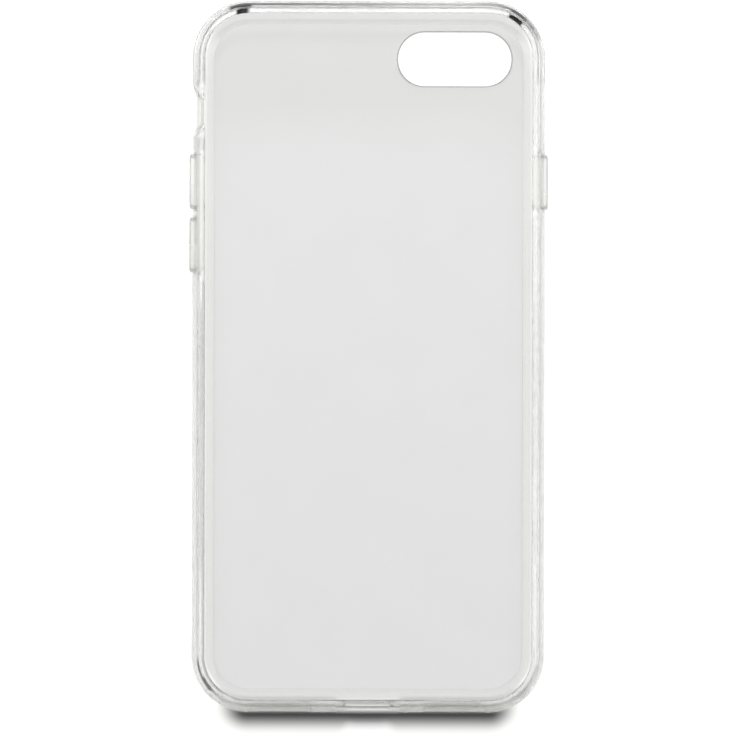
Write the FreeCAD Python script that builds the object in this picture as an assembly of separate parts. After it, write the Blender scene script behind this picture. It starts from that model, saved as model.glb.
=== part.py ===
import FreeCAD, Part

import math
import os

# Clear two-material case for a slim 4.7-inch phone. All sizes are in millimetres.
#
# The case lies on its back: +Z points out of the open front, +Y to the camera end, and +X to the
# right for someone who looks into the open front. The origin is on the outer face of the back
# panel, under the middle of the case.
#
# Places in the wall's cross-section are given as (u, z): u is the distance outward from the
# phone's side face, and z is the height above the outer face of the back panel.

# Phone that the case fits
PHONE_WIDTH = 67.3
PHONE_LENGTH = 138.4
PHONE_THICKNESS = 7.3
PHONE_CORNER = 9.95
PHONE_BACK_EDGE = 2.6
PHONE_FRONT_EDGE = 3.4

# Walls of the case
PANEL_THICKNESS = 1.2
WALL = 1.35
LIP_RISE = 0.8
LIP_REACH = 1.3
LIP_INNER_ROUND = 0.35
LIP_OUTER_ROUND = 0.4
BACK_EDGE = 4.0
FRONT_EDGE = 7.0
FRONT_EDGE_START = 5.2
CASE_HEIGHT = PANEL_THICKNESS + PHONE_THICKNESS + LIP_RISE
HALF_WIDTH = PHONE_WIDTH / 2
HALF_LENGTH = PHONE_LENGTH / 2
MID_HEIGHT = PANEL_THICKNESS + PHONE_THICKNESS / 2

# Seam where the soft bumper grips the hard panel: the panel's edge, with a tongue in a groove
SEAM = -(PHONE_BACK_EDGE + 0.3)
TONGUE_LENGTH = 0.8
TONGUE_THICKNESS = 0.4
TONGUE_BASE = (PANEL_THICKNESS - TONGUE_THICKNESS) / 2

# Camera opening in the panel
CAMERA_CENTRE = (17.1, 59.3)
CAMERA_LENGTH = 22.6
CAMERA_HEIGHT = 10.7
CAMERA_EDGE_ROUND = 0.35

# Openings in the walls: size at the phone's face, and how fast each side flares out
MUTE_Y = 48.35
MUTE_LENGTH = 8.8
MUTE_HEIGHT = 5.9
MUTE_FLARE = 0.7
PORT_LENGTH = 11.2
PORT_HEIGHT = 5.6
PORT_CORNER = 2.2
PORT_FLARE = 0.55
SOUND_SLOT_X = 17.25
SOUND_SLOT_LENGTH = 12.3
SOUND_SLOT_HEIGHT = 2.9
SOUND_SLOT_FLARE = 0.3

# Button covers: a pad in a window of the wall, held by a thin ring of web that flexes
PAD_LENGTH = 11.0
PAD_HEIGHT = 4.2
PAD_PROUD = 0.65
PAD_ROUND = 0.5
GROOVE = 0.45
WEB_THICKNESS = 0.4
POCKET_DEPTH = 0.45
POCKET_HEIGHT = 5.4
VOLUME_UP_Y = 34.7
VOLUME_DOWN_Y = 22.1
POWER_Y = 34.6
LEFT = -1
RIGHT = 1

X_AXIS = FreeCAD.Vector(1, 0, 0)
Y_AXIS = FreeCAD.Vector(0, 1, 0)
Z_AXIS = FreeCAD.Vector(0, 0, 1)


# ---------------------------------------------------------------- cross-sections and rings

def section_arc(centre, radius, start, end):
    """Edge of a cross-section on a circle, from one angle to the other, in degrees."""
    points = []
    for angle in (start, (start + end) / 2, end):
        turn = math.radians(angle)
        u = centre[0] + radius * math.cos(turn)
        z = centre[1] + radius * math.sin(turn)
        points.append(FreeCAD.Vector(u, 0, z))
    return Part.Arc(*points).toShape()


def section_lines(*places):
    """Straight edges of a cross-section through (u, z) places."""
    points = [FreeCAD.Vector(u, 0, z) for u, z in places]
    return [Part.LineSegment(a, b).toShape() for a, b in zip(points, points[1:])]


def section_face(edges):
    return Part.Face(Part.Wire(edges))


def ring(face):
    """Carries a cross-section round the phone's outline: four straight walls, four turned corners."""
    parts = []
    for quarter in range(4):
        turn = 90 * quarter
        out = FreeCAD.Rotation(Z_AXIS, turn).multVec(X_AXIS)
        along = FreeCAD.Rotation(Z_AXIS, turn).multVec(Y_AXIS)
        away, run = (HALF_WIDTH, HALF_LENGTH) if quarter % 2 == 0 else (HALF_LENGTH, HALF_WIDTH)
        half_run = run - PHONE_CORNER

        wall = face.copy()
        wall.rotate(FreeCAD.Vector(), Z_AXIS, turn)
        corner = wall.copy()
        wall.translate(out * away - along * half_run)
        parts.append(wall.extrude(along * (2 * half_run)))

        corner.translate(out * away + along * half_run)
        pivot = out * (away - PHONE_CORNER) + along * half_run
        parts.append(corner.revolve(pivot, Z_AXIS, 90))
    return parts[0].multiFuse(parts[1:]).removeSplitter()


def bumper_section():
    """Wall of the soft bumper: rounded back edge, curved front edge and a lip over the phone."""
    back_centre = (WALL - BACK_EDGE, BACK_EDGE)
    front_centre = (WALL - FRONT_EDGE, FRONT_EDGE_START)
    crest_rise = CASE_HEIGHT - LIP_OUTER_ROUND - FRONT_EDGE_START
    crest_turn = math.degrees(math.asin(crest_rise / (FRONT_EDGE - LIP_OUTER_ROUND)))
    crest_run = math.sqrt((FRONT_EDGE - LIP_OUTER_ROUND) ** 2 - crest_rise ** 2)
    crest_centre = (front_centre[0] + crest_run, CASE_HEIGHT - LIP_OUTER_ROUND)
    lip_centre = (LIP_INNER_ROUND - LIP_REACH, CASE_HEIGHT - LIP_INNER_ROUND)

    phone_front = PANEL_THICKNESS + PHONE_THICKNESS
    upper_centre = (-PHONE_FRONT_EDGE, phone_front - PHONE_FRONT_EDGE)
    under_lip = math.degrees(math.acos((PHONE_FRONT_EDGE - LIP_REACH) / PHONE_FRONT_EDGE))
    lip_foot = upper_centre[1] + PHONE_FRONT_EDGE * math.sin(math.radians(under_lip))
    lower_centre = (-PHONE_BACK_EDGE, PANEL_THICKNESS + PHONE_BACK_EDGE)
    tongue_top = TONGUE_BASE + TONGUE_THICKNESS

    edges = section_lines((SEAM, 0), (back_centre[0], 0))
    edges.append(section_arc(back_centre, BACK_EDGE, -90, 0))
    edges += section_lines((WALL, BACK_EDGE), (WALL, FRONT_EDGE_START))
    edges.append(section_arc(front_centre, FRONT_EDGE, 0, crest_turn))
    edges.append(section_arc(crest_centre, LIP_OUTER_ROUND, crest_turn, 90))
    edges += section_lines((crest_centre[0], CASE_HEIGHT), (lip_centre[0], CASE_HEIGHT))
    edges.append(section_arc(lip_centre, LIP_INNER_ROUND, 90, 180))
    edges += section_lines((-LIP_REACH, lip_centre[1]), (-LIP_REACH, lip_foot))
    edges.append(section_arc(upper_centre, PHONE_FRONT_EDGE, under_lip, 0))
    edges += section_lines((0, upper_centre[1]), (0, lower_centre[1]))
    edges.append(section_arc(lower_centre, PHONE_BACK_EDGE, 0, -90))
    edges += section_lines(
        (-PHONE_BACK_EDGE, PANEL_THICKNESS),
        (SEAM, PANEL_THICKNESS),
        (SEAM, tongue_top),
        (SEAM + TONGUE_LENGTH, tongue_top),
        (SEAM + TONGUE_LENGTH, TONGUE_BASE),
        (SEAM, TONGUE_BASE),
        (SEAM, 0),
    )
    return section_face(edges)


# ---------------------------------------------------------------- slots and plates

def slot_outline(centre, along, across, length, height, corner):
    """Closed outline of a slot with round corners; corner = height / 2 gives fully round ends."""
    half_length, half_height = length / 2, height / 2
    edges = []
    last = None
    for turn in (0, 90, 180, 270):
        side = 1 if turn in (0, 270) else -1
        rise = 1 if turn in (0, 90) else -1
        pivot = centre + along * (side * (half_length - corner)) + across * (rise * (half_height - corner))
        points = []
        for angle in (turn, turn + 45, turn + 90):
            bend = math.radians(angle)
            points.append(pivot + along * (corner * math.cos(bend)) + across * (corner * math.sin(bend)))
        if last and last.distanceToPoint(points[0]) > 1e-6:
            edges.append(Part.LineSegment(last, points[0]).toShape())
        edges.append(Part.Arc(*points).toShape())
        first = points[0] if last is None else first
        last = points[2]
    if last.distanceToPoint(first) > 1e-6:
        edges.append(Part.LineSegment(last, first).toShape())
    return Part.Wire(edges)


def wall_slot(face_point, out, along, length, height, corner, low, high, flare=0):
    """Slot through a wall, from depth low to depth high along out, measured from the phone's face.

    Each side of the slot moves out by flare for each millimetre of depth.
    """
    outlines = []
    for depth in (low, high):
        grow = flare * depth
        outlines.append(slot_outline(
            face_point + out * depth, along, Z_AXIS,
            length + 2 * grow, height + 2 * grow, corner + grow,
        ))
    return Part.makeLoft(outlines, True, True)


def plate(half_width, half_length, corner, low, high):
    """Flat plate with round corners between two heights."""
    outline = slot_outline(
        FreeCAD.Vector(0, 0, low), X_AXIS, Y_AXIS, 2 * half_width, 2 * half_length, corner)
    return Part.Face(outline).extrude(Z_AXIS * (high - low))


# ---------------------------------------------------------------- the case's pieces

def side_point(side, y):
    """Point on the phone's left or right face at mid height."""
    return FreeCAD.Vector(side * HALF_WIDTH, y, MID_HEIGHT)


def pad_slot(side, y, length, height, low, high):
    """Round-ended slot or plug at a button, between two depths from the phone's face."""
    return wall_slot(side_point(side, y), X_AXIS * side, Y_AXIS, length, height, height / 2, low, high)


def make_back_panel():
    """Hard panel: flat plate with a tongue all round and the camera opening."""
    inset = -SEAM
    body = plate(HALF_WIDTH - inset, HALF_LENGTH - inset, PHONE_CORNER - inset, 0, PANEL_THICKNESS)
    tongue = plate(
        HALF_WIDTH - inset + TONGUE_LENGTH, HALF_LENGTH - inset + TONGUE_LENGTH,
        PHONE_CORNER - inset + TONGUE_LENGTH, TONGUE_BASE, TONGUE_BASE + TONGUE_THICKNESS,
    )
    centre = FreeCAD.Vector(CAMERA_CENTRE[0], CAMERA_CENTRE[1], 0)
    hole = Part.Face(slot_outline(
        centre, X_AXIS, Y_AXIS, CAMERA_LENGTH, CAMERA_HEIGHT, CAMERA_HEIGHT / 2))
    panel = body.fuse(tongue).removeSplitter().cut(hole.extrude(Z_AXIS * PANEL_THICKNESS))

    reach = hole.BoundBox
    reach.enlarge(0.01)
    rims = []
    for edge in panel.Edges:
        box = edge.BoundBox
        flat = box.ZLength < 0.01
        if flat and reach.XMin < box.XMin and box.XMax < reach.XMax and reach.YMin < box.YMin:
            rims.append(edge)
    return panel.makeFillet(CAMERA_EDGE_ROUND, rims)


def make_bumper_frame():
    """Soft bumper: the ring of wall and lip, cut for the phone's switch, port, speaker and buttons."""
    beyond = WALL + 1
    inside = -1.5
    frame = ring(bumper_section())

    mute = wall_slot(
        side_point(LEFT, MUTE_Y), -X_AXIS, Y_AXIS,
        MUTE_LENGTH, MUTE_HEIGHT, MUTE_HEIGHT / 2, inside, beyond, MUTE_FLARE)
    bottom = FreeCAD.Vector(0, -HALF_LENGTH, MID_HEIGHT)
    port = wall_slot(
        bottom, -Y_AXIS, X_AXIS,
        PORT_LENGTH, PORT_HEIGHT, PORT_CORNER, inside, beyond, PORT_FLARE)
    cuts = [mute, port]
    for side in (LEFT, RIGHT):
        cuts.append(wall_slot(
            bottom + X_AXIS * (side * SOUND_SLOT_X), -Y_AXIS, X_AXIS,
            SOUND_SLOT_LENGTH, SOUND_SLOT_HEIGHT, SOUND_SLOT_HEIGHT / 2,
            inside, beyond, SOUND_SLOT_FLARE))

    window_length = PAD_LENGTH + 2 * GROOVE
    window_height = PAD_HEIGHT + 2 * GROOVE
    for side, y in ((LEFT, VOLUME_UP_Y), (LEFT, VOLUME_DOWN_Y), (RIGHT, POWER_Y)):
        cuts.append(pad_slot(side, y, window_length, window_height, inside, beyond))

    # Pockets inside the wall that clear the phone's own keys: one for both volume keys, one for power
    pocket_margin = POCKET_HEIGHT - window_height
    volume_middle = (VOLUME_UP_Y + VOLUME_DOWN_Y) / 2
    volume_span = VOLUME_UP_Y - VOLUME_DOWN_Y + window_length + pocket_margin
    power_span = window_length + pocket_margin
    for side, y, span in ((LEFT, volume_middle, volume_span), (RIGHT, POWER_Y, power_span)):
        cuts.append(pad_slot(side, y, span, POCKET_HEIGHT, -LIP_REACH, POCKET_DEPTH))
    return frame.cut(cuts)


def make_button(side, y):
    """Button pad: a round-ended block, proud of the wall, with a rounded outer rim."""
    top = WALL + PAD_PROUD
    pad = pad_slot(side, y, PAD_LENGTH, PAD_HEIGHT, POCKET_DEPTH, top)
    face_x = side * (HALF_WIDTH + top)
    rim = []
    for edge in pad.Edges:
        box = edge.BoundBox
        if abs(box.XMin - face_x) < 1e-4 and abs(box.XMax - face_x) < 1e-4:
            rim.append(edge)
    return pad.makeFillet(PAD_ROUND, rim)


def make_web(side, y):
    """Thin ring between a pad and its window, flush with the floor of the pocket."""
    low, high = POCKET_DEPTH, POCKET_DEPTH + WEB_THICKNESS
    outer = pad_slot(side, y, PAD_LENGTH + 2 * GROOVE, PAD_HEIGHT + 2 * GROOVE, low, high)
    return outer.cut(pad_slot(side, y, PAD_LENGTH, PAD_HEIGHT, low, high))


def make_parts():
    parts = {"back_panel": make_back_panel(), "bumper_frame": make_bumper_frame()}
    buttons = (
        ("volume_up", LEFT, VOLUME_UP_Y),
        ("volume_down", LEFT, VOLUME_DOWN_Y),
        ("power", RIGHT, POWER_Y),
    )
    for name, side, y in buttons:
        parts[name + "_button"] = make_button(side, y)
        parts[name + "_web"] = make_web(side, y)
    return parts


os.makedirs("parts", exist_ok=True)
for node, shape in make_parts().items():
    solids = shape.Solids
    if len(solids) != 1 or not shape.isValid():
        raise RuntimeError(f"{node} has {len(solids)} solids, valid {shape.isValid()}")
    solids[0].exportStep(f"parts/{node}.step")
    box = shape.BoundBox
    print(f"{node}: {shape.Volume:.1f} mm3, z {box.ZMin:.2f} to {box.ZMax:.2f}, "
          f"{box.XLength:.2f} x {box.YLength:.2f}")
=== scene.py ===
import math

import bmesh
import bpy
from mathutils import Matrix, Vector


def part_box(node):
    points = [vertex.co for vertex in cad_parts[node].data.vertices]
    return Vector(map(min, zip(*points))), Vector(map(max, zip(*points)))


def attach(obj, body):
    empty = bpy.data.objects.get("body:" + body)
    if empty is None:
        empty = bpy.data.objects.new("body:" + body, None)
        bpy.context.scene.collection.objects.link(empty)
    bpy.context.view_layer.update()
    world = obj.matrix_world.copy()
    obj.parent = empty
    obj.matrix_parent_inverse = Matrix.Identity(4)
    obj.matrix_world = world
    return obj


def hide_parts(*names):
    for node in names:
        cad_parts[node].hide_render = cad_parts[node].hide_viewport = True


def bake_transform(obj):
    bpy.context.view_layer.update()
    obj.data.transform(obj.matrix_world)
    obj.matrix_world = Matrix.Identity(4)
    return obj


# Looks of the clear phone case. Everything is in metres, in the part's own frame: the case lies on
# its back, +Z out of the open front, +Y to the camera end, volume keys on the -X side.
#
# Places in the wall's cross-section are (u, z): u is the distance outward from the phone's side
# face, and z is the height above the outer face of the back panel.

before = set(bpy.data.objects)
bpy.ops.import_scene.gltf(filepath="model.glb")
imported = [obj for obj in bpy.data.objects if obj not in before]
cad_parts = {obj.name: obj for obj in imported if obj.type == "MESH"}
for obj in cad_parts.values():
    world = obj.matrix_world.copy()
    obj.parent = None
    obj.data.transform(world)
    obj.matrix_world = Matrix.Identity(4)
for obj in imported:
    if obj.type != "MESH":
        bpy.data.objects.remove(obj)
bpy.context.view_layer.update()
MM = 0.001

# Cross-section of the bumper
WALL = 1.35 * MM
BACK_EDGE = 4.0 * MM
FRONT_EDGE = 7.0 * MM
FRONT_EDGE_START = 5.2 * MM
LIP_REACH = 1.3 * MM
LIP_INNER_ROUND = 0.35 * MM
LIP_OUTER_ROUND = 0.4 * MM
PHONE_BACK_EDGE = 2.6 * MM
PHONE_FRONT_EDGE = 3.4 * MM
LIP_RISE = 0.8 * MM
CORNER = 9.95 * MM
SEAM = -2.9 * MM
SEAM_GAP = 0.01 * MM

bumper_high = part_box("bumper_frame")[1]
panel_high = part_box("back_panel")[1]
HALF_WIDTH = bumper_high.x - WALL
HALF_LENGTH = bumper_high.y - WALL
TOP = bumper_high.z
PANEL = panel_high.z
PHONE_FRONT = TOP - LIP_RISE
MID = (PANEL + PHONE_FRONT) / 2

# Openings: sizes are (length, height, corner), and a flare widens them outward
SWITCH_AT = 48.35 * MM
SWITCH_SIZE = (8.8 * MM, 5.9 * MM, 2.95 * MM)
SWITCH_FLARE = 0.7
PORT_SIZE = (11.2 * MM, 5.6 * MM, 2.2 * MM)
PORT_FLARE = 0.55
SOUND_AT = 17.25 * MM
SOUND_SIZE = (12.3 * MM, 2.9 * MM, 1.45 * MM)
SOUND_FLARE = 0.3
CAMERA_CENTRE = Vector((17.1 * MM, 59.3 * MM, 0))
CAMERA_SIZE = (22.6 * MM, 10.7 * MM)
CAMERA_ROUND = 0.35 * MM
GROOVE = 0.45 * MM
POCKET_DEPTH = 0.45 * MM
POCKET_HEIGHT = 5.4 * MM
POCKET_SPARE = 0.3 * MM
POCKET_FOOT = 0.15 * MM
HOLE_RIM = 0.2 * MM
WINDOW_RIM = 0.12 * MM
RIM_START = math.radians(25)
RIM_TURNS = [math.radians(degrees) for degrees in (0, 16, 32, 48, 65)]
CUT_CLEARANCE = 0.03 * MM
CUT_OUTSIDE = 2.5 * MM
CUT_INSIDE = -3.0 * MM
FULLY_ROUND = 0.001 * MM
SMALLEST_CORNER = 0.02 * MM
CREASE_DEGREES = 32

# Number of faces along the curves
CORNER_STEPS = 26
SLOT_STEPS = 14
CAMERA_STEPS = 20
CAMERA_RIM_STEPS = 6
PANEL_CORNER_STEPS = 24
PAD_FOOT_STEPS = 3
PAD_RIM_STEPS = 8
PAD_CROWN_STEPS = 8
STATION_SPACING = 1.0 * MM

# Key pads and their webs
PAD_RIM = 0.5 * MM
PAD_FOOT = 0.1 * MM
PAD_CROWN = 0.12 * MM
PAD_FILL = 0.98
WEB_AT_PAD = (0.55 * MM, 0.92 * MM)
WEB_AT_WINDOW = (0.46 * MM, 0.8 * MM)
PANEL_EASE = 0.005 * MM
PANEL_BORDER = 0.3 * MM
CAMERA_BORDER = 0.1 * MM

# Clear plastic: long flow marks and fine grain, both in waves per metre
FLOW_SCALE = 90.0
FLOW_RANGE = (0.3, 0.7)
FLOW_TINT = (0.9, 0.9, 0.9, 1)
FLOW_SHARE = 0.04
GRAIN_SCALE = 2500.0
GRAIN_STRENGTH = 0.08
GRAIN_HEIGHT = 0.004 * MM
EDGE_ON = (0.72, 1.0)
# Painted shadow: the colour lamps pass where the contact shadow is drawn
PAINTED_SHADOW_TINT = (0.02, 0.02, 0.02, 1)

# Camera, lamp and floor
VIEW_WIDTH = 146.1 * MM
VIEW_CENTRE = (-0.07 * MM, -2.26 * MM)
VIEW_TURN = 0.12
CAMERA_DISTANCE = 0.95
SENSOR = 36
LAMP_PLACE = (0, 3.7, 1.5)
LAMP_SIZE = (1.5, 0.8)
LAMP_WATTS = 622
LAMP_RUN = 2.47
FLOOR_WHITE = (0.85, 0.85, 0.85, 1)
FLOOR_SIZE = 1.5
FLOOR_DROP = 0.05 * MM


# ---------------------------------------------------------------- mesh helpers

def mesh_object(name, bm):
    """Turns a bmesh into an object that is smooth but for its creases."""
    bmesh.ops.recalc_face_normals(bm, faces=bm.faces)
    mesh = bpy.data.meshes.new(name)
    bm.to_mesh(mesh)
    bm.free()
    mesh.shade_smooth()
    mesh.set_sharp_from_angle(angle=math.radians(CREASE_DEGREES))
    obj = bpy.data.objects.new(name, mesh)
    bpy.context.scene.collection.objects.link(obj)
    return obj


def loft(bm, loops, closed=False):
    """Quads between loops of the same number of points; closed joins the last loop to the first."""
    rings = [[bm.verts.new(p) for p in loop] for loop in loops]
    pairs = list(zip(rings, rings[1:]))
    if closed:
        pairs.append((rings[-1], rings[0]))
    for one, two in pairs:
        for i in range(len(one)):
            j = (i + 1) % len(one)
            bm.faces.new((one[i], one[j], two[j], two[i]))
    return rings


def slot_loop(length, height, corner, steps=SLOT_STEPS):
    """Points (along, across) round a slot with round corners. Fully round ends share their tip."""
    points = []
    half_run, half_rise = length / 2 - corner, max(height / 2 - corner, 0)
    round_ends = half_rise < FULLY_ROUND
    for quarter, (side, rise) in enumerate(((1, 1), (-1, 1), (-1, -1), (1, -1))):
        first = 1 if round_ends and quarter == 2 else 0
        last = steps - 1 if round_ends and quarter == 3 else steps
        for k in range(first, last + 1):
            turn = math.pi / 2 * (quarter + k / steps)
            points.append((
                side * half_run + corner * math.cos(turn),
                rise * half_rise + corner * math.sin(turn),
            ))
    return points


def shrink(loop_size, amount):
    """The slot (length, height, corner) moved inward by an amount."""
    length, height, corner = loop_size
    return length - 2 * amount, height - 2 * amount, max(corner - amount, SMALLEST_CORNER)


# ---------------------------------------------------------------- the wall's surfaces

def outer_u(z):
    """Outer surface of the bumper at a height."""
    if z < BACK_EDGE:
        return WALL - BACK_EDGE + math.sqrt(max(BACK_EDGE ** 2 - (BACK_EDGE - z) ** 2, 0))
    rise = max(z - FRONT_EDGE_START, 0)
    return WALL - FRONT_EDGE + math.sqrt(FRONT_EDGE ** 2 - rise ** 2)


def inner_u(z):
    """Inner surface of the bumper at a height."""
    low = PANEL + PHONE_BACK_EDGE
    high = PHONE_FRONT - PHONE_FRONT_EDGE
    if z < low:
        return -PHONE_BACK_EDGE + math.sqrt(max(PHONE_BACK_EDGE ** 2 - (low - z) ** 2, 0))
    rise = max(z - high, 0)
    return max(-PHONE_FRONT_EDGE + math.sqrt(max(PHONE_FRONT_EDGE ** 2 - rise ** 2, 0)), -LIP_REACH)


def arc(centre, radius, start, end, steps):
    """Points (u, z) on a circle, angles in degrees, without the last one."""
    points = []
    for k in range(steps):
        turn = math.radians(start + (end - start) * k / steps)
        points.append((centre[0] + radius * math.cos(turn), centre[1] + radius * math.sin(turn)))
    return points


def run(start, end, hold=0.05 * MM):
    """A flat stretch: its start, and a point just inside each end that keeps the flat part flat."""
    a, b = Vector(start), Vector(end)
    step = (b - a).normalized() * min(hold, (b - a).length / 4)
    return [tuple(a), tuple(a + step), tuple(b - step)]


def wall_section():
    """Closed cross-section of the bumper, from the seam along the outside, over the lip and back."""
    back_centre = (WALL - BACK_EDGE, BACK_EDGE)
    front_centre = (WALL - FRONT_EDGE, FRONT_EDGE_START)
    crest_rise = TOP - LIP_OUTER_ROUND - FRONT_EDGE_START
    crest_turn = math.degrees(math.asin(crest_rise / (FRONT_EDGE - LIP_OUTER_ROUND)))
    crest_u = front_centre[0] + math.sqrt((FRONT_EDGE - LIP_OUTER_ROUND) ** 2 - crest_rise ** 2)
    crest_centre = (crest_u, TOP - LIP_OUTER_ROUND)
    lip_centre = (LIP_INNER_ROUND - LIP_REACH, TOP - LIP_INNER_ROUND)
    upper_centre = (-PHONE_FRONT_EDGE, PHONE_FRONT - PHONE_FRONT_EDGE)
    under_lip = math.degrees(math.acos((PHONE_FRONT_EDGE - LIP_REACH) / PHONE_FRONT_EDGE))
    lip_foot = upper_centre[1] + PHONE_FRONT_EDGE * math.sin(math.radians(under_lip))
    lower_centre = (-PHONE_BACK_EDGE, PANEL + PHONE_BACK_EDGE)

    points = run((SEAM, 0), (back_centre[0], 0))
    points += arc(back_centre, BACK_EDGE, -90, 0, steps=22)
    points += run((WALL, BACK_EDGE), (WALL, FRONT_EDGE_START))
    points += arc(front_centre, FRONT_EDGE, 0, crest_turn, steps=14)
    points += arc(crest_centre, LIP_OUTER_ROUND, crest_turn, 90, steps=6)
    points += run((crest_u, TOP), (lip_centre[0], TOP))
    points += arc(lip_centre, LIP_INNER_ROUND, 90, 180, steps=7)
    points += run((-LIP_REACH, lip_centre[1]), (-LIP_REACH, lip_foot))
    points += arc(upper_centre, PHONE_FRONT_EDGE, under_lip, 0, steps=12)
    points += run((0, upper_centre[1]), (0, lower_centre[1]))
    points += arc(lower_centre, PHONE_BACK_EDGE, 0, -90, steps=20)
    points += run((-PHONE_BACK_EDGE, PANEL), (SEAM, PANEL))
    points += run((SEAM, PANEL), (SEAM, 0))
    return points


def outline_stations():
    """Points on the phone's outline with their outward directions, anticlockwise from +X."""
    stations = []
    for quarter in range(4):
        turn = math.pi / 2 * quarter
        out = Vector((round(math.cos(turn)), round(math.sin(turn)), 0))
        along = Vector((-out.y, out.x, 0))
        away, side = (HALF_WIDTH, HALF_LENGTH) if quarter % 2 == 0 else (HALF_LENGTH, HALF_WIDTH)
        half_run = side - CORNER
        steps = round(2 * half_run / STATION_SPACING)
        for k in range(steps):
            stations.append((out * away + along * (half_run * (2 * k / steps - 1)), out))
        pivot = out * (away - CORNER) + along * half_run
        for k in range(CORNER_STEPS):
            bend = turn + math.pi / 2 * k / CORNER_STEPS
            way = Vector((math.cos(bend), math.sin(bend), 0))
            stations.append((pivot + way * CORNER, way))
    return stations


# ---------------------------------------------------------------- cutting the bumper

def wall_point(out, along, centre, s, u, z):
    """Point of a wall: s along it from centre, u outward from the phone, z up."""
    half = HALF_WIDTH if abs(out.x) > 0.5 else HALF_LENGTH
    return out * (half + u) + along * (centre + s) + Vector((0, 0, z))


def hole_cutter(bm, out, along, centre, size, flare=0.0, rim=HOLE_RIM):
    """Closed cutter for a hole through a wall, with rounded rims that follow both curved surfaces.

    A stage is (surface, depth below it, how far the outline has grown), from outside to inside.
    """
    length, height, corner = size
    rounding = [(rim * (1 - math.cos(RIM_START + bend)), rim * (1 - math.sin(RIM_START + bend)))
                for bend in RIM_TURNS]
    depth, grow = rounding[0]
    proud = (-CUT_CLEARANCE, grow + (depth + CUT_CLEARANCE) / math.tan(RIM_START))
    ends = [(None, proud[1]), proud] + rounding
    stages = [("out", depth, grow) for depth, grow in ends]
    stages += [("in", depth, grow) for depth, grow in reversed(ends)]
    loops = []
    for face, depth, grow in stages:
        surface, sign, beyond = (
            (outer_u, -1, CUT_OUTSIDE) if face == "out" else (inner_u, 1, CUT_INSIDE))
        widen = grow + flare * surface(MID)
        loop = []
        for s, rise in slot_loop(length + 2 * widen, height + 2 * widen, corner + widen):
            z = MID + rise
            u = beyond if depth is None else surface(z) + sign * depth
            loop.append(wall_point(out, along, centre, s, u, z))
        loops.append(loop)
    rings = loft(bm, loops)
    bm.faces.new(rings[0])
    bm.faces.new(rings[-1])


def pocket_cutter(bm, out, along, centre, length):
    """Closed cutter for a shallow pocket in the inner face, with a rounded foot."""
    foot = POCKET_FOOT
    size = (length, POCKET_HEIGHT, POCKET_HEIGHT / 2)
    loops = []
    stages = [(CUT_INSIDE, 0.0), (POCKET_DEPTH - foot, 0.0)]
    for degrees in (30, 60, 90):
        bend = math.radians(degrees)
        stages.append((POCKET_DEPTH - foot * (1 - math.sin(bend)), foot * (1 - math.cos(bend))))
    for u, inset in stages:
        outline = slot_loop(*shrink(size, inset))
        loops.append([wall_point(out, along, centre, s, u, MID + rise) for s, rise in outline])
    rings = loft(bm, loops)
    bm.faces.new(rings[0])
    bm.faces.new(rings[-1])


def cut(target, cutter_bm):
    """Takes a closed cutter away from an object's mesh."""
    cutter = mesh_object("cutter", cutter_bm)
    modifier = target.modifiers.new("cut", "BOOLEAN")
    modifier.operation = "DIFFERENCE"
    modifier.solver = "EXACT"
    modifier.object = cutter
    depsgraph = bpy.context.evaluated_depsgraph_get()
    mesh = bpy.data.meshes.new_from_object(target.evaluated_get(depsgraph))
    target.modifiers.remove(modifier)
    target.data = mesh
    bpy.data.objects.remove(cutter)


KEYS = {}
for key in ("volume_up", "volume_down", "power"):
    low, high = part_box(key + "_button")
    KEYS[key] = {
        "side": Vector((math.copysign(1, low.x), 0, 0)),
        "y": (low.y + high.y) / 2,
        "size": (high.y - low.y, high.z - low.z, (high.z - low.z) / 2),
        "top": max(abs(low.x), abs(high.x)) - HALF_WIDTH,
    }


def make_bumper():
    bm = bmesh.new()
    section = wall_section()
    loops = [[base + out * u + Vector((0, 0, z)) for u, z in section]
             for base, out in outline_stations()]
    loft(bm, loops, closed=True)
    bumper = mesh_object("bumper", bm)

    along_y, along_x = Vector((0, 1, 0)), Vector((1, 0, 0))
    bottom = Vector((0, -1, 0))
    holes = bmesh.new()
    hole_cutter(holes, Vector((-1, 0, 0)), along_y, SWITCH_AT, SWITCH_SIZE, SWITCH_FLARE)
    hole_cutter(holes, bottom, along_x, 0, PORT_SIZE, PORT_FLARE)
    for side in (-1, 1):
        hole_cutter(holes, bottom, along_x, side * SOUND_AT, SOUND_SIZE, SOUND_FLARE)
    for spec in KEYS.values():
        length, height, corner = spec["size"]
        window = (length + 2 * GROOVE, height + 2 * GROOVE, corner + GROOVE)
        hole_cutter(holes, spec["side"], along_y, spec["y"], window, rim=WINDOW_RIM)
    cut(bumper, holes)

    pockets = bmesh.new()
    up, down, power = KEYS["volume_up"], KEYS["volume_down"], KEYS["power"]
    reach = up["size"][0] + 2 * GROOVE + POCKET_SPARE
    pocket_cutter(pockets, up["side"], along_y, (up["y"] + down["y"]) / 2, up["y"] - down["y"] + reach)
    pocket_cutter(pockets, power["side"], along_y, power["y"], reach)
    cut(bumper, pockets)
    bumper.data.shade_smooth()
    bumper.data.set_sharp_from_angle(angle=math.radians(CREASE_DEGREES))
    return bumper


# ---------------------------------------------------------------- the other pieces

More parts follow.
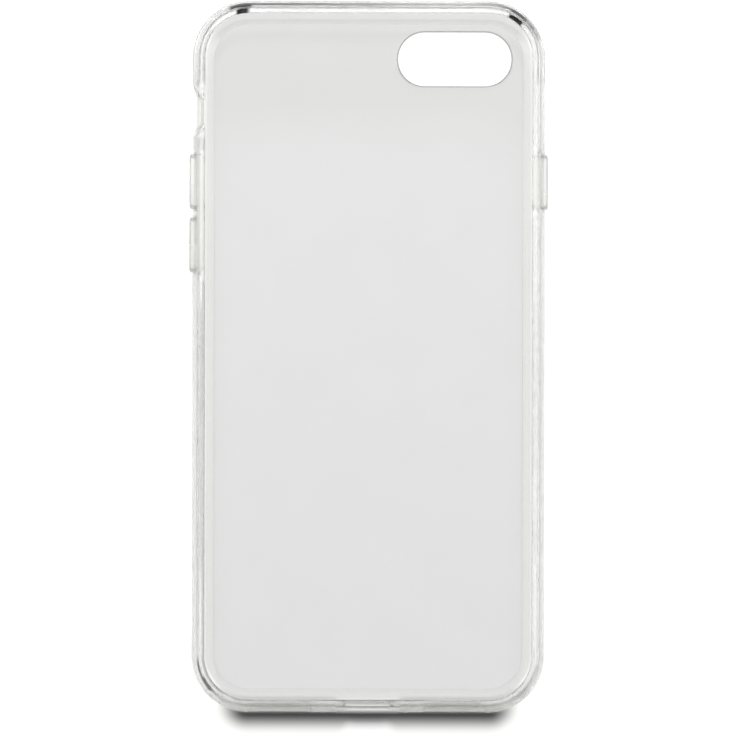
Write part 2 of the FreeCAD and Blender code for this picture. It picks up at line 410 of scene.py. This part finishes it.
def make_panel():
    """Back panel: flat plate with eased edges and a rounded rim round the camera opening."""
    inset = -SEAM + SEAM_GAP
    plate = (2 * (HALF_WIDTH - inset), 2 * (HALF_LENGTH - inset), CORNER - inset)
    ease = PANEL_EASE
    bm = bmesh.new()

    def outer_loop(shrinkage, z):
        size = shrink(plate, shrinkage)
        half_x, half_y, corner = size[0] / 2, size[1] / 2, size[2]
        points = []
        for quarter, (sx, sy) in enumerate(((1, 1), (-1, 1), (-1, -1), (1, -1))):
            for k in range(PANEL_CORNER_STEPS + 1):
                turn = math.pi / 2 * (quarter + k / PANEL_CORNER_STEPS)
                x = sx * (half_x - corner) + corner * math.cos(turn)
                y = sy * (half_y - corner) + corner * math.sin(turn)
                points.append(Vector((x, y, z)))
        return points

    def hole_loop(grow, z):
        size = (CAMERA_SIZE[0] + 2 * grow, CAMERA_SIZE[1] + 2 * grow, CAMERA_SIZE[1] / 2 + grow)
        return [CAMERA_CENTRE + Vector((s, t, z)) for s, t in slot_loop(*size, steps=CAMERA_STEPS)]

    edge = loft(bm, [
        outer_loop(PANEL_BORDER, 0), outer_loop(ease, 0), outer_loop(0, ease),
        outer_loop(0, PANEL - ease), outer_loop(ease, PANEL), outer_loop(PANEL_BORDER, PANEL),
    ])
    rim = [(CAMERA_ROUND + CAMERA_BORDER, 0)]
    for k in range(CAMERA_RIM_STEPS + 1):
        bend = math.pi / 2 * k / CAMERA_RIM_STEPS
        rim.append((CAMERA_ROUND * (1 - math.sin(bend)), CAMERA_ROUND * (1 - math.cos(bend))))
    heights = [(grow, z) for grow, z in rim] + [(grow, PANEL - z) for grow, z in reversed(rim)]
    hole = loft(bm, [hole_loop(grow, z) for grow, z in heights])
    for outside, inside in ((edge[0], hole[0]), (edge[-1], hole[-1])):
        edges = []
        for ring in (outside, inside):
            edges += [bm.edges.get((ring[i], ring[(i + 1) % len(ring)])) for i in range(len(ring))]
        bmesh.ops.triangle_fill(bm, use_beauty=True, edges=edges)
    return mesh_object("panel", bm)


def key_loop(spec, size, u):
    out, along = spec["side"], Vector((0, 1, 0))
    return [wall_point(out, along, spec["y"], s, u, MID + rise) for s, rise in slot_loop(*size)]


def make_key(name, spec):
    """Key pad: straight sides, a round rim and a slightly crowned face."""
    bm = bmesh.new()
    size, top = spec["size"], spec["top"]
    half = size[1] / 2
    rim, foot, crown = PAD_RIM, PAD_FOOT, PAD_CROWN
    stages = [(half * PAD_FILL, POCKET_DEPTH), (2 * foot, POCKET_DEPTH)]
    for k in range(PAD_FOOT_STEPS + 1):
        bend = math.pi / 2 * k / PAD_FOOT_STEPS
        stages.append((foot * (1 - math.sin(bend)), POCKET_DEPTH + foot * (1 - math.cos(bend))))
    shoulder = top - crown
    for k in range(PAD_RIM_STEPS + 1):
        bend = math.pi / 2 * k / PAD_RIM_STEPS
        stages.append((rim * (1 - math.cos(bend)), shoulder - rim * (1 - math.sin(bend))))
    for k in range(1, PAD_CROWN_STEPS + 1):
        inset = rim + (half * PAD_FILL - rim) * k / PAD_CROWN_STEPS
        share = (inset - rim) / (half - rim)
        stages.append((inset, shoulder + crown * (1 - (1 - share) ** 2)))
    rings = loft(bm, [key_loop(spec, shrink(size, inset), u) for inset, u in stages])
    bm.faces.new(rings[0])
    bm.faces.new(rings[-1])
    return mesh_object(name, bm)


def make_web(name, spec):
    """Web: a thin ring that rises a little from the window's edge to the pad."""
    bm = bmesh.new()
    size = spec["size"]
    inner, outer = -SEAM_GAP, -GROOVE + SEAM_GAP
    stages = [
        (inner, WEB_AT_PAD[0]), (outer, WEB_AT_WINDOW[0]),
        (outer, WEB_AT_WINDOW[1]), (inner, WEB_AT_PAD[1]),
    ]
    loops = [key_loop(spec, (size[0] - 2 * i, size[1] - 2 * i, size[2] - i), u) for i, u in stages]
    loft(bm, loops, closed=True)
    return mesh_object(name, bm)


# ---------------------------------------------------------------- materials

def node(tree, kind, **inputs):
    """Adds a shader node; inputs are socket values or links, by socket name with _ for spaces."""
    made = tree.nodes.new(kind)
    for socket, value in inputs.items():
        connect(tree, value, made.inputs[socket.replace("_", " ")])
    return made


def connect(tree, value, socket):
    if isinstance(value, bpy.types.NodeSocket):
        tree.links.new(value, socket)
    else:
        socket.default_value = value


def math_node(tree, operation, *values):
    made = tree.nodes.new("ShaderNodeMath")
    made.operation = operation
    for value, socket in zip(values, made.inputs):
        connect(tree, value, socket)
    return made.outputs[0]


def blend_colour(tree, share, one, two):
    made = tree.nodes.new("ShaderNodeMix")
    made.data_type = "RGBA"
    connect(tree, share, made.inputs[0])
    connect(tree, one, made.inputs[6])
    connect(tree, two, made.inputs[7])
    return made.outputs[2]


def ramp(tree, value, low, high, to_low=0.0, to_high=1.0):
    made = tree.nodes.new("ShaderNodeMapRange")
    made.interpolation_type = "SMOOTHSTEP"
    for number, socket in zip((value, low, high, to_low, to_high), made.inputs):
        connect(tree, number, socket)
    return made.outputs[0]


def vector_node(tree, operation, *values):
    made = tree.nodes.new("ShaderNodeVectorMath")
    made.operation = operation
    for value, socket in zip(values, made.inputs):
        connect(tree, value, socket)
    return made.outputs["Value" if operation in ("LENGTH", "DOT_PRODUCT") else "Vector"]


def band(tree, value, low, high, fade):
    """1 between two values, fading to 0 over a distance beyond them."""
    away = math_node(tree, "ABSOLUTE", math_node(tree, "SUBTRACT", value, (low + high) / 2))
    half = (high - low) / 2
    return ramp(tree, away, half + fade, half)


def product(tree, *values):
    total = values[0]
    for value in values[1:]:
        total = math_node(tree, "MULTIPLY", total, value)
    return total


def wall_fields(tree):
    """Shader fields of a place on the case: its coordinates, outward distance u and bearing.

    The bearing turns from the camera end (0) to the +X side (90 degrees), in radians.
    """
    place = node(tree, "ShaderNodeTexCoord").outputs["Object"]
    pivot = (HALF_WIDTH - CORNER, HALF_LENGTH - CORNER, 0)
    flat = vector_node(tree, "MULTIPLY", place, (1, 1, 0))
    reach = vector_node(tree, "SUBTRACT", vector_node(tree, "ABSOLUTE", flat), pivot)
    reach = vector_node(tree, "MAXIMUM", reach, (0, 0, 0))
    u = math_node(tree, "SUBTRACT", vector_node(tree, "LENGTH", reach), CORNER)
    signed = vector_node(tree, "MULTIPLY", reach, vector_node(tree, "SIGN", place))
    way = node(tree, "ShaderNodeSeparateXYZ", Vector=signed).outputs
    bearing = math_node(tree, "ARCTAN2", way[0], way[1])
    x, y, z = node(tree, "ShaderNodeSeparateXYZ", Vector=place).outputs
    return {"u": u, "x": x, "y": y, "z": z, "bearing": bearing, "place": place}


def clear_plastic(name, tint, ior, lamp_tint, edge_tint, roughness, ripple,
                  shades=(), milky=(), foot=None, rim=None):
    """Clear moulded plastic that lets lamps through to what is behind it.

    Surfaces that a lamp meets edge-on turn its light aside: they pass the edge tint there.
    rim is a mask that keeps this to a part of the surface. shades are (mask, colour) pairs that darken
    the colour there; most of them are painted shade. milky are (mask, share) pairs of plastic that
    doesn't bend all of the view. foot is a mask where lamps are held back by position: a painted shadow.
    """
    material = bpy.data.materials.new(name)
    material.use_nodes = True
    tree = material.node_tree
    tree.nodes.clear()
    fields = wall_fields(tree)
    place = fields["place"]

    flow = node(tree, "ShaderNodeTexNoise", Vector=place, Scale=FLOW_SCALE, Detail=0.0).outputs[0]
    grain = node(tree, "ShaderNodeTexNoise", Vector=place, Scale=GRAIN_SCALE, Detail=3.0).outputs[0]
    wave = node(tree, "ShaderNodeBump", Strength=1.0, Distance=ripple, Height=flow).outputs[0]
    skin = node(
        tree, "ShaderNodeBump", Strength=GRAIN_STRENGTH, Distance=GRAIN_HEIGHT, Height=grain, Normal=wave)

    path = node(tree, "ShaderNodeLightPath").outputs
    lamp = math_node(tree, "MAXIMUM", path["Is Shadow Ray"], path["Is Diffuse Ray"])
    facing = node(tree, "ShaderNodeLayerWeight", Blend=0.5).outputs["Facing"]
    aside = product(tree, lamp, ramp(tree, facing, *EDGE_ON))
    if rim:
        aside = product(tree, aside, rim(tree, fields))
    passed = blend_colour(tree, aside, (*lamp_tint, 1), (*edge_tint, 1))
    # Painted shadow: the foot mask holds lamp light back by position, drawing a dark shadow on the floor
    if foot:
        held = product(tree, lamp, foot(tree, fields))
        passed = blend_colour(tree, held, passed, PAINTED_SHADOW_TINT)

    marks = ramp(tree, flow, *FLOW_RANGE, 0.0, FLOW_SHARE)
    body = blend_colour(tree, marks, (*tint, 1), FLOW_TINT)
    # Painted shade: most shades darken the colour where the case looks shaded or shows dark lines
    for mask, colour in shades:
        body = blend_colour(tree, mask(tree, fields), body, (*colour, 1))

    glass = node(
        tree, "ShaderNodeBsdfPrincipled", Base_Color=body, Transmission_Weight=1.0, IOR=ior,
        Roughness=ramp(tree, flow, *FLOW_RANGE, roughness * 0.7, roughness * 1.3),
        Normal=skin.outputs[0])
    through = node(tree, "ShaderNodeBsdfTransparent", Color=passed)
    straight = lamp
    for mask, share in milky:
        straight = math_node(
            tree, "MAXIMUM", straight, math_node(tree, "MULTIPLY", mask(tree, fields), share))
    mix = node(tree, "ShaderNodeMixShader")
    output = node(tree, "ShaderNodeOutputMaterial")
    for value, socket in zip((straight, glass.outputs[0], through.outputs[0]), mix.inputs):
        connect(tree, value, socket)
    connect(tree, mix.outputs[0], output.inputs["Surface"])
    return material


def bearing_range(tree, fields, start, end, fade=6):
    """1 between two bearings in degrees, fading out over some degrees beyond them."""
    return band(tree, fields["bearing"], math.radians(start), math.radians(end), math.radians(fade))


def span(tree, field, low, high, fade=0.5):
    """1 between two values of a length field, all in millimetres."""
    return band(tree, field, low * MM, high * MM, fade * MM)


def u_range(tree, fields, low, high, fade=0.15):
    """1 between two outward distances in millimetres."""
    return span(tree, fields["u"], low, high, fade)


def rise(tree, field, start, full, to_low=0.0, to_high=1.0):
    """Goes from 0 at one value of a length field to 1 at another, both in millimetres."""
    return ramp(tree, field, start * MM, full * MM, to_low, to_high)


def either(tree, *masks):
    total = masks[0]
    for mask in masks[1:]:
        total = math_node(tree, "MAXIMUM", total, mask)
    return total


def outside(tree, mask):
    return math_node(tree, "SUBTRACT", 1.0, mask)


# Where along the walls: millimetres along Y, but for the spots, which are along X
SWITCH_SPAN = (44.0, 53.0)
SWITCH_BLOCK = (41.0, 43.0)
VOLUME_SPAN = (16.0, 44.0)
VOLUME_AND_SWITCH = (12.0, 53.5)
ROUND_VOLUME = (17.0, 53.0)
ROUND_POWER = (29.5, 40.0)
POWER_SPAN = (28.5, 41.0)
PAD_END = 5.1
OUTER_SPOT = (-27.2, -23.4)
INNER_SPOT = (-26.0, -24.2)
BETWEEN_SPOTS = (-25.4, -24.0)

# Bearings, in degrees from the camera end
TOP_EDGE = (-18, 56)
TOP_TAIL = (44, 66)
RIGHT_SPOTS = (27, 44)
BEYOND_RIGHT_SPOTS = (38, 50)
LOWER_LEFT_THIN = (-128, -98)
LOWER_LEFT_WIDE = (-130, -118)
LOWER_LEFT_INNER = (-140, -100)
LOWER_RIGHT = (108, 140)


def in_lip(tree, fields):
    """1 in the upper part of the wall."""
    return rise(tree, fields["z"], 6.6, 7.2)


def at_camera_end(tree, fields):
    return rise(tree, fields["y"], 52, 56)


def port_end(tree, fields, start, full):
    """0 up to one bearing and 1 from the other, in degrees, the same both ways round."""
    away = math_node(tree, "ABSOLUTE", fields["bearing"])
    return ramp(tree, away, math.radians(start), math.radians(full))


def left_side(tree, fields):
    return bearing_range(tree, fields, -125, -60, 12)


def right_side(tree, fields):
    return bearing_range(tree, fields, 60, 125, 12)


def at_port(tree, fields):
    """1 over the port, 0 beside it."""
    return rise(tree, math_node(tree, "ABSOLUTE", fields["x"]), 6.6, 6.2)


# Painted shade: dark streaks and lines

def painted_top_line(tree, fields):
    """Painted shade: a dark line along the front edge at the camera end, a little fainter right of its
    middle.
    """
    left = rise(tree, fields["x"], 22, -24)
    right = rise(tree, fields["x"], 22, 29)
    faintest = 0.8
    strength = math_node(
        tree, "MULTIPLY_ADD", either(tree, left, right), 1.0 - faintest, faintest)
    line = product(
        tree, bearing_range(tree, fields, *TOP_EDGE, 12), strength, u_range(tree, fields, 0.25, 0.65, 0.25))
    tail = product(tree, bearing_range(tree, fields, *TOP_TAIL, 12), u_range(tree, fields, 0.1, 0.9, 0.25))
    tail = math_node(tree, "MULTIPLY", tail, 0.75)
    return product(tree, either(tree, line, tail), in_lip(tree, fields))


def painted_left_spots(tree, fields):
    """Painted shade: two short dark streaks where the left corner of the camera end begins."""
    outer = product(tree, span(tree, fields["x"], *OUTER_SPOT, 0.8), u_range(tree, fields, 0.0, 0.6))
    inner = product(tree, span(tree, fields["x"], *INNER_SPOT, 0.7), u_range(tree, fields, -1.3, -0.5))
    return product(tree, either(tree, outer, inner), in_lip(tree, fields), at_camera_end(tree, fields))


def painted_right_spots(tree, fields):
    """Painted shade: two short dark streaks in the middle of the other corner."""
    streaks = either(tree, u_range(tree, fields, 0.1, 0.6), u_range(tree, fields, -1.2, -0.5))
    return product(tree, bearing_range(tree, fields, *RIGHT_SPOTS, 4), streaks, in_lip(tree, fields))


def painted_between_spots(tree, fields):
    """Painted shade: grey between and beside the streaks."""
    left = product(tree, span(tree, fields["x"], *BETWEEN_SPOTS, 1.0), at_camera_end(tree, fields))
    right = math_node(tree, "MULTIPLY", bearing_range(tree, fields, *BEYOND_RIGHT_SPOTS, 8), 0.5)
    return product(
        tree, either(tree, left, right), u_range(tree, fields, -1.3, 0.6), in_lip(tree, fields))


def painted_corner_streak(tree, fields):
    """Painted shade: a dark streak round the corner below the volume keys, widest at its far end."""
    thin = product(
        tree, bearing_range(tree, fields, *LOWER_LEFT_THIN, 12), u_range(tree, fields, -0.1, 0.1, 0.25))
    wide = product(
        tree, bearing_range(tree, fields, *LOWER_LEFT_WIDE, 9), u_range(tree, fields, -0.4, 0.2, 0.25))
    return product(tree, either(tree, thin, wide), in_lip(tree, fields))


def painted_corner_inner(tree, fields):
    """Painted shade: a grey line inside that streak, along the lip's inner edge."""
    return product(
        tree, bearing_range(tree, fields, *LOWER_LEFT_INNER, 12), u_range(tree, fields, -1.5, -1.0, 0.2),
        in_lip(tree, fields))


def painted_right_corner(tree, fields):
    """Painted shade: the corner below the power key is darker."""
    return product(
        tree, bearing_range(tree, fields, *LOWER_RIGHT, 12), u_range(tree, fields, -1.3, 0.6, 0.3),
        in_lip(tree, fields))


# Long sides

def painted_left_line(tree, fields):
    """Painted shade: a grey line along the inner edge of the left lip, fainter beside the volume keys.

    It stops beside the switch hole.
    """
    away = outside(tree, span(tree, fields["y"], *SWITCH_SPAN, 1.5))
    beside_keys = math_node(tree, "MULTIPLY", span(tree, fields["y"], *VOLUME_SPAN, 2.0), 0.7)
    return product(
        tree, left_side(tree, fields), away, outside(tree, beside_keys),
        u_range(tree, fields, -1.25, -0.85, 0.2), in_lip(tree, fields))


def painted_left_wall(tree, fields):
    """Painted shade: the left lip is darker below the volume keys, most of all halfway down."""
    away = outside(tree, span(tree, fields["y"], *VOLUME_AND_SWITCH, 3.0))
    middle = span(tree, fields["y"], -30.0, 10.0, 25.0)
    share = math_node(tree, "MULTIPLY_ADD", middle, 0.7, 0.3)
    return product(
        tree, left_side(tree, fields), away, share, u_range(tree, fields, -1.1, -0.55, 0.4),
        in_lip(tree, fields))


def painted_right_wall(tree, fields):
    """Painted shade: two soft lines along the right lip, but not beside the power key."""
    away = outside(tree, span(tree, fields["y"], *POWER_SPAN, 1.5))
    lines = either(
        tree, u_range(tree, fields, 0.3, 0.45, 0.25), u_range(tree, fields, -1.3, -0.6, 0.2))
    return product(tree, right_side(tree, fields), away, lines, in_lip(tree, fields))


def painted_switch_block(tree, fields):
    """Painted shade on the short piece of wall between the switch hole and the volume keys."""
    return product(
        tree, left_side(tree, fields), span(tree, fields["y"], *SWITCH_BLOCK, 0.6),
        rise(tree, fields["z"], 2.0, 4.0))


def outer_edges(tree, fields):
    """Outer edge of both long sides, less so beside the camera opening."""
    sides = either(tree, left_side(tree, fields), right_side(tree, fields))
    share = rise(tree, fields["y"], 56, 53, 0.3, 1.0)
    return product(tree, sides, share, rise(tree, fields["u"], 0.2, 0.7))


def round_keys(tree, fields):
    """Both long walls near the keys and the switch hole."""
    left = product(tree, left_side(tree, fields), span(tree, fields["y"], *ROUND_VOLUME, 3.0))
    right = product(tree, right_side(tree, fields), span(tree, fields["y"], *ROUND_POWER, 3.0))
    return product(tree, either(tree, left, right), rise(tree, fields["u"], -1.2, -0.6))


# Port end

def painted_bottom_wall(tree, fields):
    """Painted shade: the port end is darker, but for the part outside the port."""
    over_port = product(tree, at_port(tree, fields), rise(tree, fields["u"], 0.2, 0.4))
    return product(
        tree, port_end(tree, fields, 125, 150), outside(tree, over_port),
        rise(tree, fields["u"], -1.2, -1.0), in_lip(tree, fields))


def painted_bottom_inner(tree, fields):
    """Painted shade on the inner edge of the lip at the port end."""
    return product(
        tree, port_end(tree, fields, 125, 150), u_range(tree, fields, -1.2, -0.6, 0.3),
        in_lip(tree, fields))


def painted_port_line(tree, fields):
    """Painted shade: a dark line at the edge of the port seen through the lip."""
    return product(
        tree, port_end(tree, fields, 150, 170), at_port(tree, fields),
        u_range(tree, fields, -0.05, 0.1, 0.15), in_lip(tree, fields))


def painted_port_strip(tree, fields):
    """Painted shade: a grey strip along the lip's inner edge over the port."""
    return product(
        tree, at_port(tree, fields), rise(tree, fields["y"], 0.0, -10),
        u_range(tree, fields, -1.3, -0.7, 0.2), in_lip(tree, fields))


def bottom_milk(tree, fields):
    """The whole wall at the port end, but for the line of the port's edge."""
    return product(
        tree, outside(tree, painted_port_line(tree, fields)), port_end(tree, fields, 130, 160),
        rise(tree, fields["u"], -1.3, -1.1))


def painted_contact_shadow(tree, fields):
    """Painted contact shadow: where the port end rests, lamps are held back by position to draw a dark
    shadow on the floor.

    A lamp as low as the key light that passes (u, z) lands at u + z * LAMP_RUN. It is held back
    most where it would land outside the wall, partly under the wall, and not under the port.
    """
    under_port = rise(tree, math_node(tree, "ABSOLUTE", fields["x"]), 4.6, 3.0)
    fading = either(
        tree, rise(tree, fields["z"], 2.2, 0.75),
        product(tree, under_port, rise(tree, fields["z"], 2.4, 1.7, 0.0, 0.4)))
    landing = math_node(tree, "MULTIPLY_ADD", fields["z"], LAMP_RUN, fields["u"])
    spared = 0.6
    share = math_node(tree, "MULTIPLY_ADD", at_port(tree, fields), 1.0 - spared, spared)
    lit_under = outside(tree, product(tree, share, rise(tree, landing, 1.4, 1.2)))
    return product(
        tree, port_end(tree, fields, 132, 176), rise(tree, fields["u"], -2.0, -1.0), fading, lit_under)


# Floor inside the case

def inner_floor(tree, fields):
    """The bumper's flat foot inside the case, as dense as the panel beside it."""
    beside_panel = rise(tree, fields["u"], -1.6, -2.8, 0.84, 1.0)
    return product(
        tree, rise(tree, fields["z"], 3.6, 3.0), beside_panel, rise(tree, fields["u"], -1.0, -1.3))


def painted_inner_floor_bottom(tree, fields):
    """Painted shade: at the port end the darker colour runs on under the lip."""
    return product(
        tree, rise(tree, fields["z"], 4.4, 3.6), port_end(tree, fields, 125, 150),
        rise(tree, fields["u"], -0.3, -0.8), rise(tree, fields["u"], -1.3, -1.0))


def painted_inner_floor_top(tree, fields):
    """Painted shade: at the camera end the darker colour runs up to the wall."""
    return product(
        tree, rise(tree, fields["z"], 4.4, 3.6), rise(tree, fields["u"], -0.2, -0.7),
        bearing_range(tree, fields, -45, 45, 30))


# Keys

def pad_face(tree, fields):
    """The part of a pad that stands proud of the wall."""
    return rise(tree, fields["u"], 0.9, 1.1)


def painted_key_ends(tree, fields):
    """Painted shade at the ends of the pads, where they curve down to their webs."""
    centres = [spec["y"] / MM + side * PAD_END for spec in KEYS.values() for side in (-1, 1)]
    return either(tree, *(span(tree, fields["y"], y - 0.2, y + 0.2, 0.4) for y in centres))


# Parts of the surface

def away_from_streaks(tree, fields):
    """All but the darkest streaks."""
    streaks = (painted_left_spots, painted_right_spots, painted_between_spots, painted_top_line)
    return outside(tree, either(tree, *(streak(tree, fields) for streak in streaks)))


def lip_edge_top(tree, fields):
    """Inner edge of the lip at the camera end, but for the streaks."""
    return product(
        tree, away_from_streaks(tree, fields), bearing_range(tree, fields, -50, 50, 20),
        u_range(tree, fields, -1.35, -1.0, 0.1), in_lip(tree, fields))


def outer_wall(tree, fields):
    """The bumper but for its flat foot."""
    return rise(tree, fields["u"], -2.4, -1.6)


def camera_rim(tree, fields):
    """Inside the panel, away from its outer edge."""
    return rise(tree, fields["u"], -3.0, -3.4)


def painted_rim_line(tree, fields):
    """Painted shade: a dark outline in a narrow band round the camera opening."""
    flat = vector_node(tree, "MULTIPLY", fields["place"], (1, 1, 0))
    away = vector_node(tree, "ABSOLUTE", vector_node(tree, "SUBTRACT", flat, CAMERA_CENTRE))
    half_run = (CAMERA_SIZE[0] - CAMERA_SIZE[1]) / 2
    reach = vector_node(tree, "MAXIMUM", vector_node(tree, "SUBTRACT", away, (half_run, 0, 0)), (0, 0, 0))
    edge = math_node(tree, "SUBTRACT", vector_node(tree, "LENGTH", reach), CAMERA_SIZE[1] / 2)
    return ramp(tree, edge, CAMERA_ROUND, CAMERA_ROUND * 0.5)


def grey(level):
    return (level, level, level)


SOFT_TINT = (0.97, 0.97, 0.965)
HARD = dict(
    tint=grey(0.73), ior=1.58, lamp_tint=grey(0.97), edge_tint=grey(0.3),
    # Painted shade: a dark outline round the camera opening
    roughness=0.03, ripple=0.01 * MM, rim=camera_rim, shades=((painted_rim_line, grey(0.25)),))
SOFT = dict(
    tint=SOFT_TINT, ior=1.5, lamp_tint=SOFT_TINT, edge_tint=(0.8, 0.8, 0.79),
    roughness=0.2, ripple=0.003 * MM, rim=outer_wall, foot=painted_contact_shadow,
    milky=((away_from_streaks, 0.2), (outer_edges, 0.6), (round_keys, 0.7), (lip_edge_top, 0.8),
           (bottom_milk, 0.5)),
    # Painted shade: all these shades but inner_floor darken where the case looks shaded or shows dark lines
    shades=(
        (inner_floor, grey(0.68)), (painted_inner_floor_top, grey(0.57)), (painted_left_wall, grey(0.3)),
        (painted_left_line, grey(0.3)), (painted_right_wall, (0.65, 0.65, 0.64)), (painted_switch_block, grey(0.35)),
        (painted_bottom_wall, (0.9, 0.9, 0.84)), (painted_bottom_inner, (0.6, 0.6, 0.57)),
        (painted_inner_floor_bottom, grey(0.6)), (painted_port_line, grey(0.3)), (painted_port_strip, grey(0.4)),
        (painted_top_line, grey(0.02)), (painted_corner_streak, grey(0.04)), (painted_corner_inner, grey(0.2)),
        (painted_right_corner, (0.6, 0.6, 0.59)), (painted_between_spots, grey(0.15)), (painted_left_spots, grey(0.001)),
        (painted_right_spots, grey(0.001))))
KEY = dict(
    tint=SOFT_TINT, ior=1.5, lamp_tint=SOFT_TINT, edge_tint=(0.85, 0.85, 0.84),
    roughness=0.25, ripple=0.003 * MM, milky=((outer_wall, 0.5),),
    # painted_key_ends is painted shade at the ends of the pads
    shades=((pad_face, grey(0.7)), (painted_key_ends, grey(0.2))))
hard_clear = clear_plastic("hard_clear", **HARD)
soft_clear = clear_plastic("soft_clear", **SOFT)
key_clear = clear_plastic("key_clear", **KEY)

panel = make_panel()
panel.data.materials.append(hard_clear)
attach(panel, "case")
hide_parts("back_panel")

bumper = make_bumper()
bumper.data.materials.append(soft_clear)
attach(bumper, "case")
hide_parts("bumper_frame")

for key, spec in KEYS.items():
    pad = make_key(key + "_pad", spec)
    pad.data.materials.append(key_clear)
    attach(pad, key)
    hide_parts(key + "_button")
    web = make_web(key + "_ring", spec)
    web.data.materials.append(soft_clear)
    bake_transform(web)
    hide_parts(key + "_web")


# ---------------------------------------------------------------- floor, light and camera

def make_floor():
    bm = bmesh.new()
    bmesh.ops.create_grid(bm, x_segments=1, y_segments=1, size=FLOOR_SIZE)
    floor = mesh_object("floor", bm)
    floor.location.z = -FLOOR_DROP
    material = bpy.data.materials.new("floor_white")
    material.use_nodes = True
    shader = material.node_tree.nodes["Principled BSDF"]
    shader.inputs["Base Color"].default_value = FLOOR_WHITE
    shader.inputs["Roughness"].default_value = 0.9
    shader.inputs["Specular IOR Level"].default_value = 0.0
    floor.data.materials.append(material)


def make_world():
    """Studio dome: bright beyond the camera end and dim beyond the port end, for what it lights.

    Seen directly, mirrored or through the plastic, it is nearly white all over.
    """
    world = bpy.data.worlds.new("studio")
    world.use_nodes = True
    bpy.context.scene.world = world
    tree = world.node_tree
    way = node(tree, "ShaderNodeTexCoord").outputs["Generated"]
    side = node(tree, "ShaderNodeSeparateXYZ", Vector=way).outputs[1]
    dim, bright, seen_white = 0.03, 0.8, 0.95
    glow = ramp(tree, side, -0.6, 1.0, dim, bright)
    path = node(tree, "ShaderNodeLightPath").outputs
    direct = math_node(tree, "MAXIMUM", path["Is Camera Ray"], math_node(
        tree, "MAXIMUM", path["Is Glossy Ray"], path["Is Transmission Ray"]))
    seen = math_node(tree, "MAXIMUM", glow, math_node(tree, "MULTIPLY", direct, seen_white))
    background = tree.nodes["Background"]
    connect(tree, seen, background.inputs["Strength"])


def area_light(name, place, aim, size, watts):
    light = bpy.data.lights.new(name, "AREA")
    light.shape = "RECTANGLE"
    light.size, light.size_y = size
    light.energy = watts
    obj = bpy.data.objects.new(name, light)
    obj.location = place
    obj.visible_glossy = False
    obj.visible_transmission = False
    obj.rotation_euler = (Vector(aim) - Vector(place)).to_track_quat("-Z", "Y").to_euler()
    bpy.context.scene.collection.objects.link(obj)


def make_camera():
    camera_data = bpy.data.cameras.new("camera")
    camera_data.sensor_width = SENSOR
    camera_data.lens = camera_data.sensor_width * CAMERA_DISTANCE / VIEW_WIDTH
    camera = bpy.data.objects.new("camera", camera_data)
    camera.location = (*VIEW_CENTRE, MID + CAMERA_DISTANCE)
    camera.rotation_euler = (0, 0, math.radians(VIEW_TURN))
    bpy.context.scene.collection.objects.link(camera)
    bpy.context.scene.camera = camera


make_floor()
make_world()
area_light("key", LAMP_PLACE, (0, 0, 0), LAMP_SIZE, LAMP_WATTS)
make_camera()
bpy.context.scene.view_settings.view_transform = "Standard"
bpy.context.scene.cycles.max_bounces = 20
bpy.context.scene.cycles.transmission_bounces = 20
bpy.context.scene.cycles.transparent_max_bounces = 24
